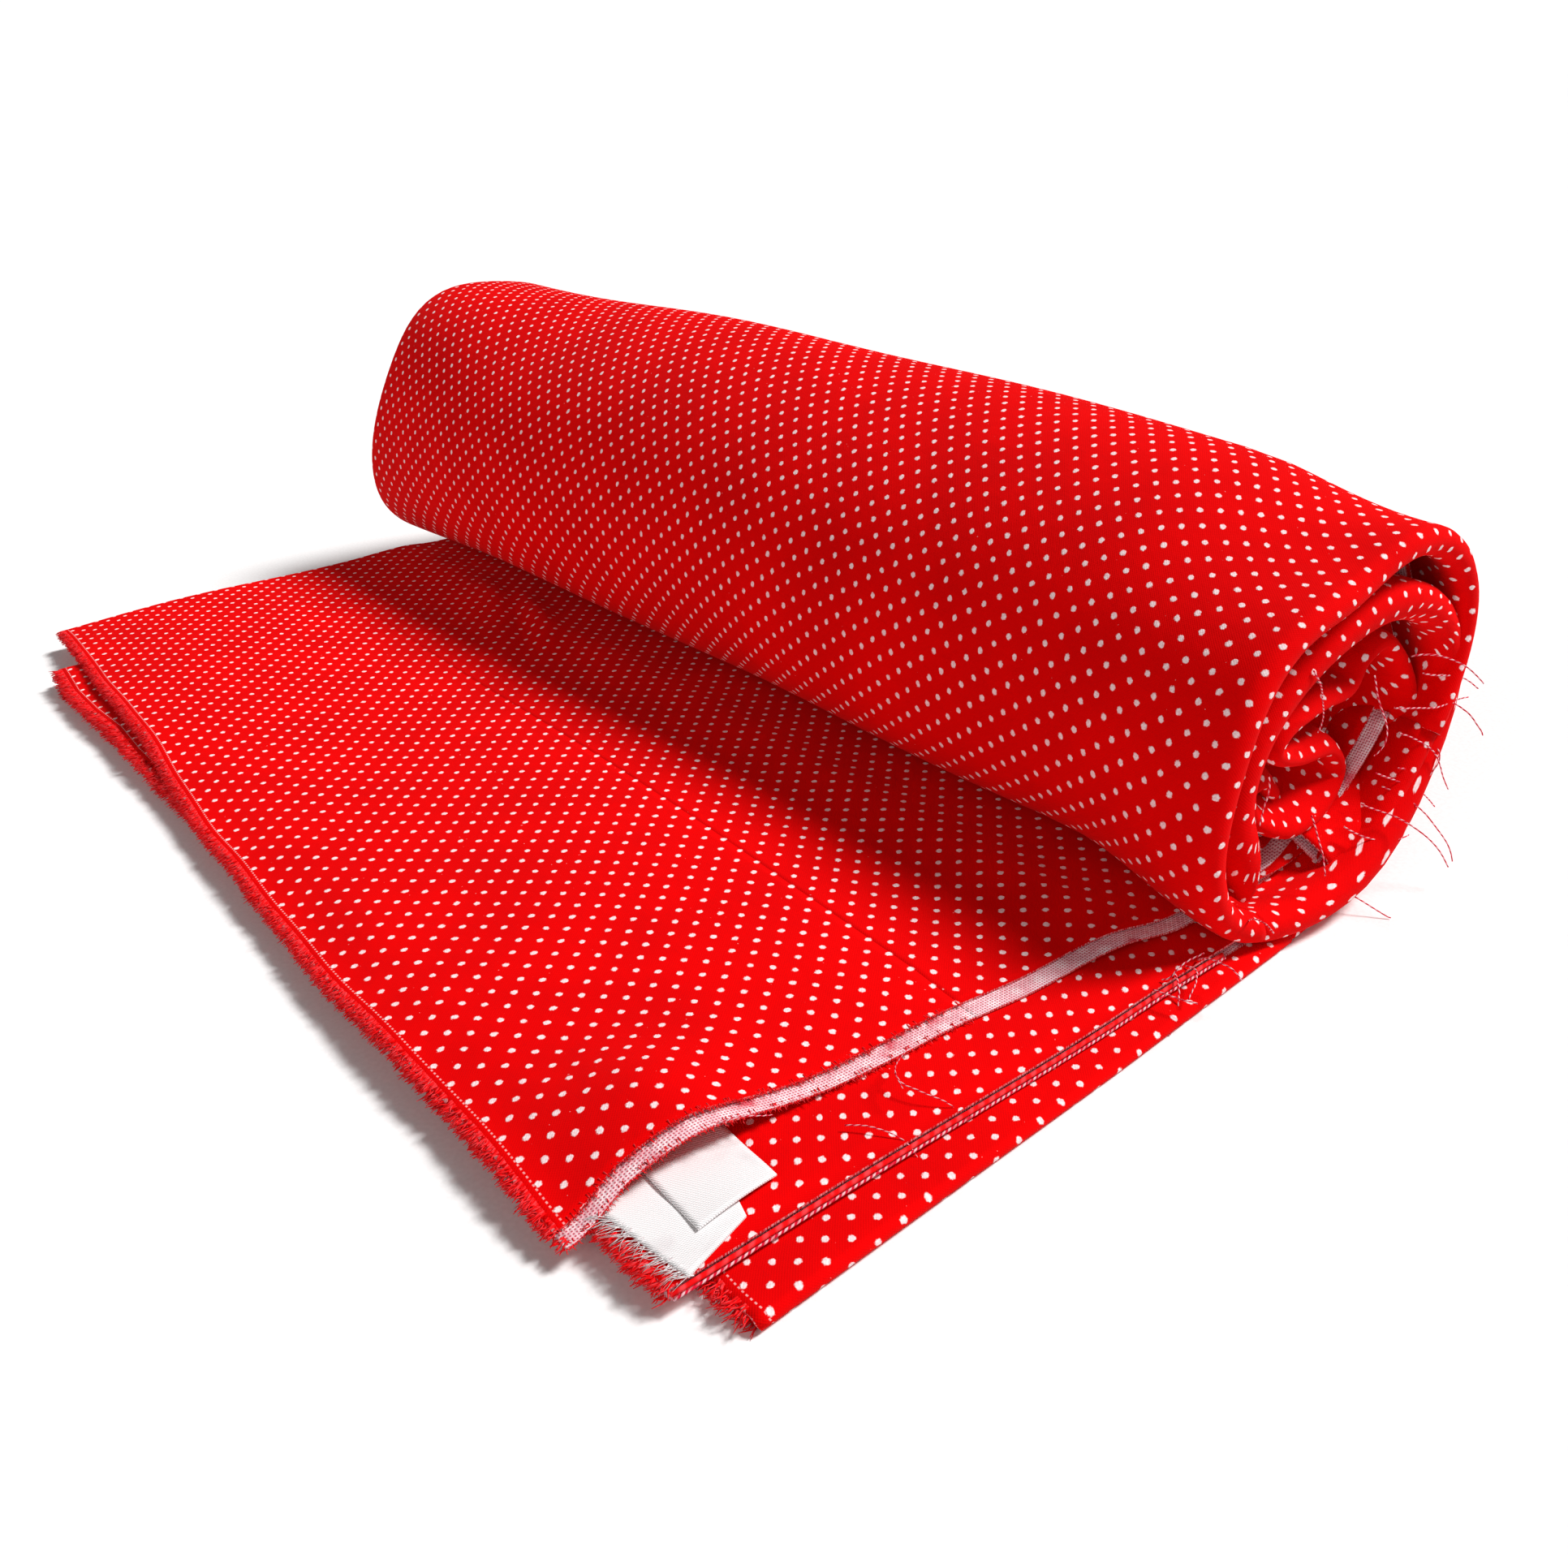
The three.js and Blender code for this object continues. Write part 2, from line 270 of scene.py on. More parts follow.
# --- materials ------------------------------------------------------------------------------------
class Shader:
    def __init__(self, name):
        self.material = bpy.data.materials.new(name)
        self.material.use_nodes = True
        self.tree = self.material.node_tree
        self.tree.nodes.clear()
        self.out = self.tree.nodes.new("ShaderNodeOutputMaterial")
        self.bsdf = self.tree.nodes.new("ShaderNodeBsdfPrincipled")
        self.link(self.bsdf.outputs[0], self.out.inputs[0])

    def link(self, a, b):
        self.tree.links.new(a, b)

    def node(self, kind, inputs=(), out=0, **props):
        n = self.tree.nodes.new("ShaderNode" + kind)
        for key, value in props.items():
            setattr(n, key, value)
        for key, value in dict(inputs).items():
            if isinstance(value, bpy.types.NodeSocket):
                self.link(value, n.inputs[key])
            else:
                n.inputs[key].default_value = value
        return n.outputs[out]

    def math(self, operation, a, b=0.0, clamp=False):
        return self.node("Math", {0: a, 1: b}, operation=operation, use_clamp=clamp)

    def vector(self, operation, a, b=(0, 0, 0), out=0, scale=None):
        inputs = {0: a, 1: b}
        if scale is not None:
            inputs[3] = scale
        return self.node("VectorMath", inputs, out=out, operation=operation)

    def cloth_mm(self, layer="cloth"):
        uv = self.node("UVMap", uv_map=layer)
        return self.vector("SCALE", uv, scale=1000.0)

    def split(self, v):
        n = self.tree.nodes.new("ShaderNodeSeparateXYZ")
        self.link(v, n.inputs[0])
        return n.outputs[0], n.outputs[1]

    def noise(self, vector, scale, detail=2.0, out=0, roughness=0.5):
        inputs = {"Vector": vector, "Scale": scale, "Detail": detail, "Roughness": roughness}
        return self.node("TexNoise", inputs, out=out)

    def ramp(self, value, low, high, to_low=0.0, to_high=1.0, kind="SMOOTHSTEP"):
        return self.node(
            "MapRange",
            {"Value": value, "From Min": low, "From Max": high, "To Min": to_low, "To Max": to_high},
            interpolation_type=kind,
        )

    def mix(self, share, a, b):
        n = self.tree.nodes.new("ShaderNodeMix")
        n.data_type = "RGBA"
        for socket, value in ((n.inputs[0], share), (n.inputs[6], a), (n.inputs[7], b)):
            if isinstance(value, bpy.types.NodeSocket):
                self.link(value, socket)
            else:
                socket.default_value = value
        return n.outputs[2]

    def bump(self, height, distance, strength=1.0):
        n = self.node("Bump", {"Height": height, "Distance": distance, "Strength": strength})
        self.link(n, self.bsdf.inputs["Normal"])

    def set(self, **values):
        for key, value in values.items():
            socket = self.bsdf.inputs[key.replace("_", " ")]
            if isinstance(value, bpy.types.NodeSocket):
                self.link(value, socket)
            else:
                socket.default_value = value


def rgb(r, g, b):
    return (r, g, b, 1.0)


def dots(s, mm, across, soft):
    """1 on the dots of a lattice of two square grids, each half a pitch from the other."""
    wander = s.vector("SUBTRACT", s.noise(mm, 0.55, 1.0, out=1), (0.5, 0.5, 0.5))
    ragged = s.vector("SUBTRACT", s.noise(mm, 2.1, 2.0, out=1), (0.5, 0.5, 0.5))
    place = s.vector("ADD", mm, s.vector("SCALE", wander, scale=0.5))
    place = s.vector("ADD", place, s.vector("SCALE", ragged, scale=0.6))
    unit = s.vector("MULTIPLY", place, (1 / DOT_PITCH[0], 1 / DOT_PITCH[1], 0))
    distances = []
    for shift in (0.0, 0.5):
        cell = s.vector("FRACTION", s.vector("ADD", unit, (shift, shift, 0)))
        centred = s.vector("SUBTRACT", cell, (0.5, 0.5, 0))
        flat = s.vector("MULTIPLY", centred, (DOT_PITCH[0], DOT_PITCH[1], 0))
        distances.append(s.vector("LENGTH", flat, out=1))
    nearest = s.math("MINIMUM", distances[0], distances[1])
    return s.ramp(nearest, across / 2 - soft, across / 2 + soft, 1.0, 0.0)


def weave(s, mm, thread):
    """Height of a plain weave, 0 to 1, and how much of it is the gap between the threads."""
    u, v = s.split(s.vector("SCALE", mm, scale=math.pi / thread))
    a, b = s.math("SINE", u), s.math("SINE", v)
    over = s.ramp(s.math("MULTIPLY", a, b), -1.0, 1.0, kind="LINEAR")
    warp = s.math("ABSOLUTE", s.math("COSINE", u))
    hole = s.math("MULTIPLY", warp, s.math("ABSOLUTE", s.math("COSINE", v)))
    return over, hole


def face_material():
    s = Shader("dotted_cotton_face")
    mm = s.cloth_mm()
    u, v = s.split(mm)
    over, hole = weave(s, mm, 0.36)
    patch = s.noise(mm, 0.035, 3.0)
    slub = s.noise(s.vector("MULTIPLY", mm, (0.12, 2.4, 0)), 1.0, 2.0)
    red = s.mix(s.ramp(patch, 0.3, 0.7), rgb(0.80, 0.0002, 0.0006), rgb(0.71, 0.0002, 0.0008))
    red = s.mix(s.ramp(slub, 0.55, 0.85, 0.0, 0.35), red, rgb(0.52, 0.001, 0.004))
    red = s.mix(s.ramp(hole, 0.75, 1.0, 0.0, 0.25), red, rgb(0.40, 0.0, 0.002))
    spot = dots(s, mm, DOT_ACROSS, 0.16)
    margin = s.ramp(v, 1.2, 2.0)  # dots are faint on the selvage
    spot = s.math("MULTIPLY", spot, s.ramp(margin, 0.0, 1.0, 0.38, 1.0, "LINEAR"))
    spot_tone = s.mix(s.ramp(s.noise(mm, 1.7, 1.0), 0.3, 0.7), rgb(0.97, 0.80, 0.80), rgb(0.88, 0.60, 0.61))
    stitch = s.ramp(s.math("ABSOLUTE", s.math("SUBTRACT", v, 2.6)), 0.10, 0.26, 1.0, 0.0)
    dash = s.ramp(s.math("SINE", s.math("MULTIPLY", u, 2 * math.pi / 1.25)), -0.1, 0.3)
    stitch = s.math("MULTIPLY", stitch, dash)
    fleck = s.ramp(s.noise(mm, 0.9, 2.0), 0.755, 0.80, 0.0, 0.45)
    light = s.math("MAXIMUM", s.math("MAXIMUM", spot, s.math("MULTIPLY", stitch, 0.5)), fleck)
    colour = s.mix(light, red, spot_tone)
    height = s.math("ADD", s.math("MULTIPLY", over, 0.5), s.math("MULTIPLY", spot, 0.9))
    height = s.math("ADD", height, s.math("MULTIPLY", s.noise(mm, 0.22, 3.0), 2.5))
    s.bump(height, 0.00012, 0.7)
    rough = s.ramp(spot, 0.0, 1.0, 0.86, 0.7, "LINEAR")
    s.set(Base_Color=colour, Roughness=rough, Specular_IOR_Level=0.03, Sheen_Weight=0.01, Sheen_Roughness=0.5)
    return s.material


def reverse_material():
    s = Shader("dotted_cotton_reverse")
    mm = s.cloth_mm()
    over, hole = weave(s, mm, 0.72)
    yarn = s.mix(s.ramp(s.noise(mm, 0.16, 2.0), 0.35, 0.65), rgb(0.90, 0.62, 0.66), rgb(0.80, 0.46, 0.50))
    blotch = s.math("MULTIPLY", dots(s, mm, 2.6, 1.0), 0.7)
    light = s.mix(blotch, yarn, rgb(0.95, 0.84, 0.85))
    gap = s.ramp(hole, 0.35, 0.85, 0.0, 0.9)
    woven = s.mix(gap, light, rgb(0.50, 0.03, 0.07))
    smudge = s.ramp(s.noise(mm, 0.07, 3.0), 0.57, 0.68, 0.0, 0.8)
    colour = s.mix(smudge, woven, rgb(0.60, 0.01, 0.04))
    s.bump(over, 0.00016, 0.9)
    s.set(Base_Color=colour, Roughness=0.9, Specular_IOR_Level=0.12, Sheen_Weight=0.04)
    return s.material


def edge_material():
    s = Shader("cut_edge")
    mm = s.cloth_mm()
    ends = s.noise(s.vector("MULTIPLY", mm, (2.6, 2.6, 0)), 1.0, 2.0)
    colour = s.mix(s.ramp(ends, 0.42, 0.62), rgb(0.62, 0.004, 0.012), rgb(0.80, 0.34, 0.36))
    s.bump(ends, 0.0002, 0.8)
    s.set(Base_Color=colour, Roughness=0.92, Specular_IOR_Level=0.1)
    return s.material


def strand_material(name, main, other, pitch, soft):
    """Yarn whose colours twist round each other: stripes along its length, in millimetres. On the selvage
    fluff the lighter stripes are painted highlights.
    """
    s = Shader(name)
    mm = s.cloth_mm()
    u, v = s.split(mm)
    slant = s.math("ADD", v, s.math("MULTIPLY", u, 0.5))
    twist = s.math("SINE", s.math("MULTIPLY", slant, 2 * math.pi / pitch))
    wear_and_highlight_breaks = s.noise(mm, 0.35, 1.0)
    stripe = s.math("MULTIPLY", s.ramp(twist, -soft, soft), s.ramp(wear_and_highlight_breaks, 0.30, 0.55))
    s.bump(twist, 0.00008, 0.8)
    s.set(Base_Color=s.mix(stripe, main, other), Roughness=0.85, Specular_IOR_Level=0.12)
    return s.material


def twill_material():
    s = Shader("white_twill")
    mm = s.cloth_mm()
    u, v = s.split(mm)
    rib = s.math("SINE", s.math("MULTIPLY", s.math("ADD", s.math("MULTIPLY", u, 1.6), v), 2 * math.pi / 0.95))
    cross = s.math("SINE", s.math("MULTIPLY", v, 2 * math.pi / 0.45))
    height = s.math("ADD", rib, s.math("MULTIPLY", cross, 0.35))
    # the twill's ribs are lighter and the grooves between them darker: painted shade in the grooves of the
    # weave
    tone = s.mix(s.ramp(height, -1.2, 0.8), rgb(0.80, 0.76, 0.76), rgb(0.93, 0.91, 0.91))
    grey = s.ramp(s.noise(mm, 0.09, 2.0), 0.5, 0.72, 0.0, 0.35)
    s.bump(height, 0.00008, 0.6)
    s.set(Base_Color=s.mix(grey, tone, rgb(0.62, 0.55, 0.56)), Roughness=0.88, Specular_IOR_Level=0.15)
    return s.material


FACE, REVERSE, EDGE = face_material(), reverse_material(), edge_material()
STRIPED = strand_material("striped_yarn", rgb(0.66, 0.004, 0.03), rgb(0.86, 0.50, 0.54), 1.5, 0.5)
# the selvage fluff's red is lighter than the cloth's own red: painted brightness for the light its thin hairs
# lose to their own shade. Its lighter orange stripes are painted highlights.
FLUFF_PAINTED_BRIGHT = strand_material("selvage_fluff_painted_bright", rgb(0.86, 0.002, 0.004), rgb(0.90, 0.05, 0.06), 3.0, 0.9)
PALE = strand_material("white_fluff", rgb(0.88, 0.84, 0.84), rgb(0.74, 0.66, 0.67), 2.0, 0.9)
TWILL = twill_material()


# --- meshes ---------------------------------------------------------------------------------------
def new_object(name, verts, faces, materials, indices, smooth_flags, uvs):
    mesh = bpy.data.meshes.new(name)
    mesh.from_pydata((verts * MM).tolist(), [], faces)
    for m in materials:
        mesh.materials.append(m)
    mesh.polygons.foreach_set("material_index", np.array(indices, np.int32))
    mesh.polygons.foreach_set("use_smooth", np.array(smooth_flags, bool))
    for layer, values in uvs.items():
        mesh.uv_layers.new(name=layer).data.foreach_set("uv", np.array(values, np.float32).ravel())
    mesh.update()
    obj = bpy.data.objects.new(name, mesh)
    bpy.context.scene.collection.objects.link(obj)
    return obj


def cloth_sheet(name, points, flat_uv, bake_u, bake_v, thickness=CLOTH, front=0.8, materials=None):
    """A closed sheet round the middle surface points[path, across]. Its face is on the side of
    path x across. flat_uv is the flat cloth in millimetres."""
    rows, cols, _ = points.shape
    normal = np.cross(np.gradient(points, axis=0), np.gradient(points, axis=1))
    normal /= np.linalg.norm(normal, axis=2, keepdims=True) + 1e-12
    front_side = points + normal * thickness / 2
    back_side = points - normal * thickness / 2
    verts = np.concatenate([front_side.reshape(-1, 3), back_side.reshape(-1, 3)])
    index = np.arange(rows * cols).reshape(rows, cols)
    a, b, c, d = index[:-1, :-1], index[1:, :-1], index[1:, 1:], index[:-1, 1:]
    quads = np.stack([a, b, c, d], -1).reshape(-1, 4)
    back = quads[:, ::-1] + rows * cols
    ring = np.concatenate([index[0, :-1], index[:-1, -1], index[-1, :0:-1], index[:0:-1, 0]])
    after = np.roll(ring, -1)
    rim = np.stack([ring, after, after + rows * cols, ring + rows * cols], -1)
    faces = np.concatenate([quads, back, rim])
    indices = [0] * len(quads) + [1] * len(back) + [2] * len(rim)
    shade = [True] * (2 * len(quads)) + [False] * len(rim)
    loops = faces.ravel()
    flat = np.concatenate([flat_uv.reshape(-1, 2)] * 2)[loops] * MM
    bu = np.broadcast_to(bake_u[None, :], (rows, cols)).reshape(-1)
    bv = np.broadcast_to(bake_v[:, None], (rows, cols)).reshape(-1)
    n_front = quads.size
    bake = np.zeros((loops.size, 2))
    base = loops % (rows * cols)
    bake[:, 0] = 0.002 + 0.996 * bu[base]
    bake[:n_front, 1] = 0.002 + (front - 0.006) * bv[base[:n_front]]
    bake[n_front : 2 * n_front, 1] = front + 0.002 + (0.985 - front) * bv[base[n_front : 2 * n_front]]
    share = np.repeat(np.arange(len(rim)) / len(rim), 4) + np.tile([0, 1, 1, 0], len(rim)) / len(rim)
    bake[2 * n_front :, 0] = 0.002 + 0.996 * share
    bake[2 * n_front :, 1] = 0.990 + 0.008 * np.tile([0, 0, 1, 1], len(rim))
    obj = new_object(name, verts, faces.tolist(), materials or [FACE, REVERSE, EDGE], indices, shade,
                     {"cloth": flat, "OFBake": bake})
    return obj


def strands(name, paths, radii, material, sides=4):
    """One mesh of many closed, tapering threads. paths are lists of points in millimetres."""
    verts, faces, flat, bake = [], [], [], []
    total = len(paths)
    for order, (path, radius) in enumerate(zip(paths, radii)):
        path = np.asarray(path, float)
        n = len(path)
        radius = np.broadcast_to(radius, (n,)) if np.ndim(radius) else np.full(n, float(radius))
        tangent = np.gradient(path, axis=0)
        tangent /= np.linalg.norm(tangent, axis=1, keepdims=True) + 1e-12
        side = np.cross(tangent, [0.31, 0.17, 0.94])
        side /= np.linalg.norm(side, axis=1, keepdims=True) + 1e-12
        other = np.cross(tangent, side)
        start = sum(len(v) for v in verts)
        turn = 2 * np.pi * np.arange(sides) / sides
        c, s = np.cos(turn)[None, :, None], np.sin(turn)[None, :, None]
        ring = path[:, None] + radius[:, None, None] * (c * side[:, None] + s * other[:, None])
        verts.append(ring.reshape(-1, 3))
        length = np.concatenate([[0], np.cumsum(np.linalg.norm(np.diff(path, axis=0), axis=1))])
        for i in range(n - 1):
            for k in range(sides):
                q = (start + i * sides + k, start + i * sides + (k + 1) % sides,
                     start + (i + 1) * sides + (k + 1) % sides, start + (i + 1) * sides + k)
                faces.append(q)
                wide = [k, k + 1, k + 1, k]
                long = [length[i], length[i], length[i + 1], length[i + 1]]
                flat += [(w * 0.6 + order * 7.3, l) for w, l in zip(wide, long)]
                bake += [((order + 0.05 + 0.9 * w / sides) / total, 0.02 + 0.96 * l / length[-1])
                         for w, l in zip(wide, long)]
        for cap, flip in ((start, True), (start + (n - 1) * sides, False)):
            q = [cap + k for k in range(sides)]
            faces.append(tuple(q[::-1] if flip else q))
            flat += [(order * 7.3 + k * 0.1, 0.1) for k in range(sides)]
            edge = 0.0 if flip else 0.985
            bake += [((order + 0.05 + 0.9 * (k % 2)) / total, edge + 0.01 * (k // 2)) for k in range(sides)]
    # the quads wind outwards when side x other runs along the path
    return new_object(name, np.concatenate(verts), faces, [material], [0] * len(faces), [True] * len(faces),
                      {"cloth": np.array(flat) * MM, "OFBake": np.clip(bake, 0, 1)})


def bake_across(kind):
    shares, counts = BAKE_SHARE[kind], PROFILE_PARTS[kind]
    edges = np.concatenate([[0], np.cumsum(shares)]) / sum(shares)
    parts = [np.linspace(edges[i], edges[i + 1], n + 1)[: n] for i, n in enumerate(counts)]
    out = np.concatenate(parts)
    out[-1] = 1.0
    return out


def lay_cloth(name, kind, stations, profile_at, place, guide, start=None, thickness=CLOTH):
    """Lofts a profile along a path. guide(station, x) is the line whose length the cloth uses up;
    start is the length used before, as a function of x. Returns the sheet, that function for the
    next piece, and the points."""
    points, xs = [], []
    for u in stations:
        x, d = profile_at(u)
        points.append(np.stack(place(u, d, x), -1))
        xs.append(x)
    points = np.array(points)
    used_at = np.linspace(X_FAR, GUIDE_END, GUIDE_SAMPLES)
    line = np.array([np.stack(guide(u, used_at), -1) for u in stations])
    steps = np.linalg.norm(np.diff(line, axis=0), axis=2)
    used = np.concatenate([np.zeros((1, GUIDE_SAMPLES)), np.cumsum(steps, axis=0)])
    if start is not None:
        used = used + start(used_at)[None, :]
    v = np.array([np.interp(np.clip(x, X_FAR, GUIDE_END), used_at, row) for x, row in zip(xs, used)])
    across = np.linalg.norm(np.diff(points, axis=1), axis=2)
    u_flat = np.concatenate([np.zeros((len(points), 1)), np.cumsum(across, axis=1)], axis=1)
    counts = PROFILE_PARTS[kind]
    first = sum(counts[: REFERENCE[kind]])
    last = first + counts[REFERENCE[kind]]
    for j, x in enumerate(xs):
        xr, ur = x[first:last], u_flat[j, first:last].copy()
        if xr[0] > xr[-1]:
            xr, ur = xr[::-1], ur[::-1]
        u_flat[j] -= np.interp(0.0, xr, ur)
    bv = np.linspace(0, 1, len(points))
    sheet = cloth_sheet(name, points, np.stack([u_flat, v], -1), bake_across(kind), bv, thickness)
    width = float((u_flat[:, -1] - u_flat[:, 0]).mean())
    length = float((used[-1] - used[0]).mean())
    sheet["flat_size"] = [width * MM, length * MM]
    end = used[-1].copy()
    return sheet, lambda at: np.interp(np.clip(at, X_FAR, GUIDE_END), used_at, end), points


def winding_guide(angle, x):
    return winding(angle, 0.0, x)


# --- the tail and what lies under the roll --------------------------------------------------------
def lowest_line(x):
    return axis(x)[0] + support(-90.0, x)[1]


def tail_profile_lower(y):
    return lower_profile(
        TABLE_PLIES,
        X_ROLL + reach_at(MIDDLE_REACH, y),
        X_ROLL + reach_at(MIDDLE_REACH, y) + 0.3,
        X_ROLL + reach_at(BOTTOM_REACH, y),
        X_FAR + reach_at(LOWER_SET_BACK, y),
        lerp(TAIL_NOSE, STACK_NOSE, smooth(-60, 20, y)),
    )


def column_shares(kind, values):
    """One value for every column of a profile: a number for each run, a fold runs between two."""
    out = []
    for value, count in zip(values, PROFILE_PARTS[kind]):
        first, last = value if isinstance(value, tuple) else (value, value)
        out.append(np.linspace(first, last, count))
    return np.concatenate(out)


MIDDLE_COLUMNS = column_shares("lower", [1.0, (1.0, 0.0), 0.0, 0.0, 0.0, (0.0, 1.0), 1.0])


def lower_selvage(x, middle):
    share = np.clip((x - X_FAR) / (X_ROLL - X_FAR), 0, 1.05)
    return lerp(lerp(*LOWER_SELVAGE, share), lerp(*MIDDLE_SELVAGE, share), middle)


def tail_place_lower(u, depth, x):
    start = lower_selvage(x, MIDDLE_COLUMNS)
    start = start + 0.7 * np.sin(x / 11 + depth) + 2.0 * bump(x, -175, 34) * np.sin(x / 6.5 + depth)
    y = lerp(start, lowest_line(x), u)
    return x, y, lie(x, y, depth, 0.0)


def tail_profile_upper(y):
    set_back = lerp(TOP_SET_BACK, UNDER_SET_BACK, float(smooth(5, 50, y)))
    near1 = X_ROLL - set_back + 0.6 * math.sin(y / 17) + 0.35 * math.sin(y / 7.0 + 1)
    near1 += 3.0 * float(smooth(-98, -116, y))
    near2 = near1 + REVEAL + 0.5 * math.sin(y / 23 + 2)
    return upper_profile(TABLE_PLIES, near1, near2, X_FAR, "fine")


def tail_place_upper(y, depth, x):
    bow = 2.0 - 5.0 * bump(x, 30, 120) + 0.4 * np.sin(x / 19) + 0.15 * np.sin(x / 7.3)
    y = y + bow * (1 - smooth(TOP_SELVAGE, -60, y)) + 0 * x
    z = lie(x, y, depth, 1.0)
    return x, y, z


def heel_profile_lower(angle):
    t = float(smooth(-90, HEEL_END, angle))
    plies = ROLL_PLIES
    return lower_profile(
        plies,
        lerp(X_ROLL, X_ROLL - 12, t),
        lerp(X_ROLL + 1.6, X_ROLL - 15, t),
        lerp(X_ROLL + BOTTOM_REACH[2], X_ROLL + 2, t),
        X_FAR + lerp(LOWER_SET_BACK[2], 0, t),
        lerp(STACK_NOSE, HEEL_NOSE, t),
    )


def heel_profile_upper(angle):
    t = float(smooth(-90, HEEL_END, angle))
    settle = (1 - t) * np.array([0, 0, 0, 0, 0.2, 0.2])
    near1 = X_ROLL - lerp(UNDER_SET_BACK, UNDER_SET_BACK - 1, t)
    return upper_profile(np.array(ROLL_PLIES) + settle, near1, near1 + lerp(REVEAL, 4, t), X_FAR)


OVERLAP = 0.5  # each piece of the cloth starts this far inside the one before


def build_table_stack():
    v_stations = np.concatenate([np.linspace(0, 0.12, 8), np.linspace(0.14, 1, 44)])
    lower, used_lower, lower_points = lay_cloth(
        "lower_length_flat_end", "lower", v_stations,
        lambda u: tail_profile_lower(lerp(-112, 70, u)), tail_place_lower,
        lambda u, x: (lerp(lower_selvage(x, 0.0), lowest_line(x), u), 0 * x))
    page = np.concatenate([np.linspace(TOP_SELVAGE, -98, 9), np.linspace(-95, PAGE_BEND, 36)])
    upper, used_page, upper_points = lay_cloth(
        "upper_length_page", "page", page, tail_profile_upper, tail_place_upper,
        lambda y, x: (y + 0 * x, 0 * x))

    def under(u, depth, x):
        y = lerp(PAGE_BEND - OVERLAP, lowest_line(x), u)
        z = lie(x, y, depth, 1.0)
        settled = depth - (TABLE_PLIES[5] - ROLL_PLIES[5] - 0.2) * np.ones_like(x)
        return x, y, lerp(z, np.minimum(z, settled), smooth(28, 45, y))

    under_upper, used_under, _ = lay_cloth(
        "upper_length_under_roll", "page", np.linspace(0, 1, 40),
        lambda u: tail_profile_upper(lerp(PAGE_BEND - OVERLAP, 66, u)), under,
        lambda u, x: (lerp(PAGE_BEND - OVERLAP, lowest_line(x), u), 0 * x),
        lambda x: used_page(x) - OVERLAP, CLOTH - 0.02)
    return lower, upper, under_upper, used_lower, used_under, lower_points, upper_points


def build_heel(used_lower, used_upper):
    angles = np.linspace(-90.5, HEEL_END, 16)
    lower, used_low, _ = lay_cloth("lower_length_heel", "lower", angles, heel_profile_lower,
                                   turns, winding_guide, lambda x: used_lower(x) - OVERLAP, CLOTH - 0.02)
    upper, used_up, _ = lay_cloth("upper_length_heel", "upper", angles, heel_profile_upper,
                                  turns, winding_guide, lambda x: used_upper(x) - OVERLAP, CLOTH - 0.04)
    return lower, upper, used_low, used_up


# --- the turns ------------------------------------------------------------------------------------
def turn_profile_lower(angle):
    inset = float(lerp(0, 2.5, smooth(300, 420, angle))) + 1.2 * math.sin(angle / 37)
    tip = X_ROLL + 2 - inset
    nose = lerp(HEEL_NOSE, NOSE, float(smooth(HEEL_END, 20, angle)))
    nose = lerp(nose, SECOND_NOSE, float(smooth(270, 330, angle)))
    return lower_profile(ROLL_PLIES, tip - 15, tip - 18, tip, X_FAR + inset * 0.6, nose)


def turn_profile_upper(angle):
    inset = float(lerp(0, 2.5, smooth(300, 420, angle)))
    near1 = X_ROLL - 17 - 8 * float(smooth(290, 330, angle)) - inset + 1.0 * math.sin(angle / 29)
    return upper_profile(ROLL_PLIES, near1, near1 + 3, X_FAR + inset * 0.6)


TURN_STEPS = 96
# each turn with its first and last winding angle, and how much thinner its cloth is made
TURNS = (("outer_turn", HEEL_END - 0.6, 270, 0.0), ("second_turn", 269.3, 630, 0.02))


def build_turns(used_low, used_up):
    made = {}
    for name, first, last, thinner in TURNS:
        angles = np.linspace(first, last, TURN_STEPS)
        made["lower_" + name], used_low, _ = lay_cloth(
            "lower_length_" + name, "lower", angles, turn_profile_lower, turns, winding_guide,
            used_low, CLOTH - thinner)
        made["upper_" + name], used_up, _ = lay_cloth(
            "upper_length_" + name, "upper", angles, turn_profile_upper, turns, winding_guide,
            used_up, CLOTH - thinner)
    return made, used_low, used_up


# The end of the cloth isn't wound: it is folded up loosely in the middle. y and z of the folds, in order.
CORE_FOLDS = (
    (96, 5), (114, 11), (124, 26), (122, 46), (113, 59), (105, 57), (99, 51),
    (86, 51.5), (73, 49.5), (70, 44), (81, 38.5), (97, 34.5), (105, 24.5),
    (99, 15), (85, 14.5), (71, 23), (68, 31), (75, 31), (82, 24),
)


def core_path(count):
    """A smooth line through the folds: (count, 2), with its normals."""
    knots = np.array(CORE_FOLDS, float)
    t = np.linspace(0, len(knots) - 1, count)
    i = np.clip(t.astype(int), 0, len(knots) - 2)
    f = (t - i)[:, None]
    get = lambda k: knots[np.clip(k, 0, len(knots) - 1)]
    p0, p1, p2, p3 = get(i - 1), get(i), get(i + 1), get(i + 2)
    square, cube = 2 * p0 - 5 * p1 + 4 * p2 - p3, 3 * p1 - p0 - 3 * p2 + p3
    p = 0.5 * (2 * p1 + (p2 - p0) * f + square * f**2 + cube * f**3)
    tangent = np.gradient(p, axis=0)
    tangent /= np.linalg.norm(tangent, axis=1, keepdims=True)
    inward = np.stack([-tangent[:, 1], tangent[:, 0]], -1)
    return p, inward


CORE_SQUEEZE = 0.62  # the folds of the core press its plies together
CORE_PATH = core_path(150)


